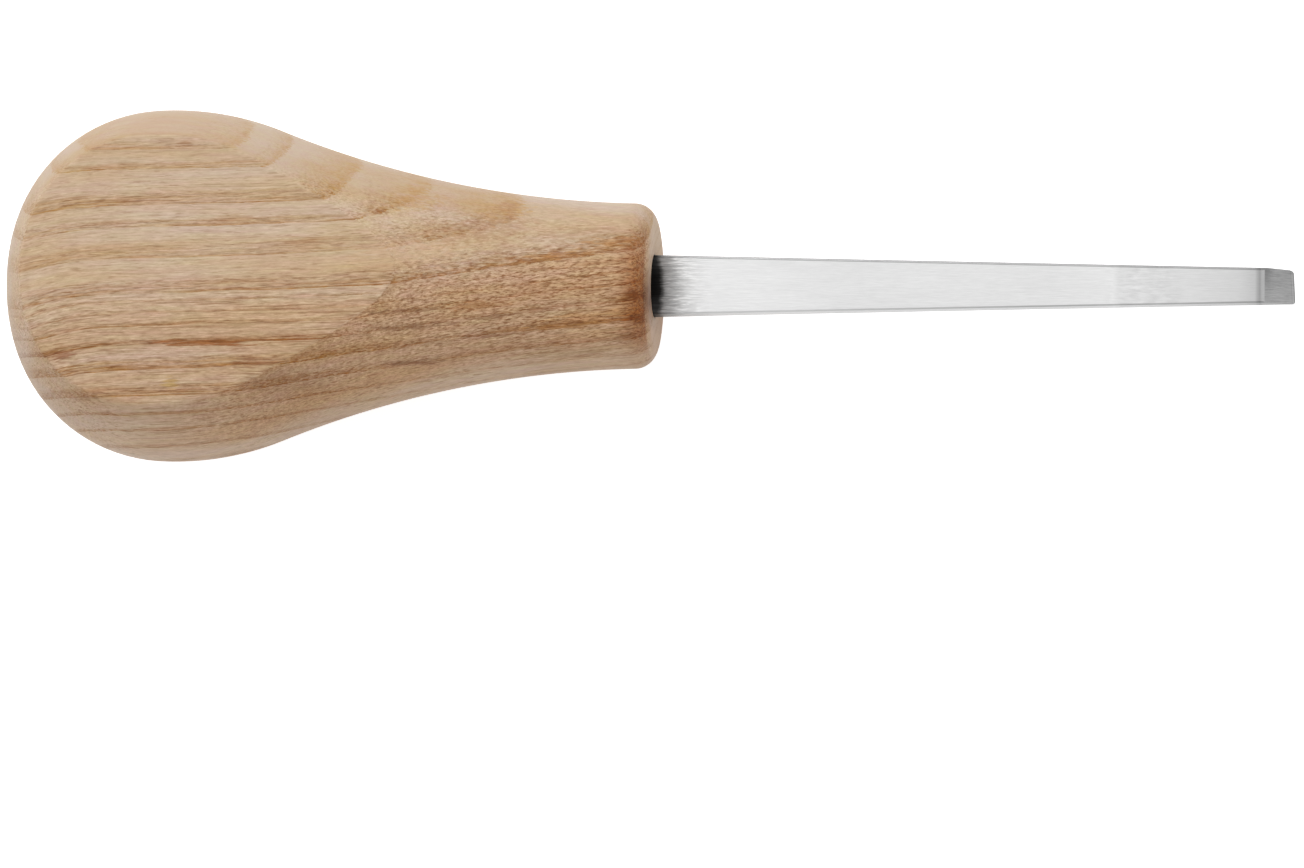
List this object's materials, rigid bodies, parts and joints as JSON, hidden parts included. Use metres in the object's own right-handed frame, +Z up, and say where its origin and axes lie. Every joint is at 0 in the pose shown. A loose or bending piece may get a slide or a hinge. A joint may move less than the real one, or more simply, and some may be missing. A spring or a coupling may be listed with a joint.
{
  "type": "palm chisel",
  "caption": "Palm chisel: pear-shaped ash handle with a flat cut on one side, holding a short tapered flat steel blade with a single bevel, glued into a bored hole.",
  "frame": {"origin": "on the bench, under the middle of the tool as it lies at rest on the round of the bulb and the cutting edge", "axes": "+X from the butt towards the cutting edge, +Z up, the flat and the bevel facing up; the tool's own axis dips 8.6 degrees below +X towards the edge"},
  "size_m": [0.1556, 0.0432, 0.0379],
  "materials": {
    "ash": "oiled, fine sanded",
    "steel": "brushed along its length, black scale left at the root, bevel ground",
    "epoxy": "set adhesive, dark"
  },
  "bodies": {
    "root": {"handle": "ash", "blade": "steel", "tang_epoxy": "epoxy"}
  },
  "joints": []
}
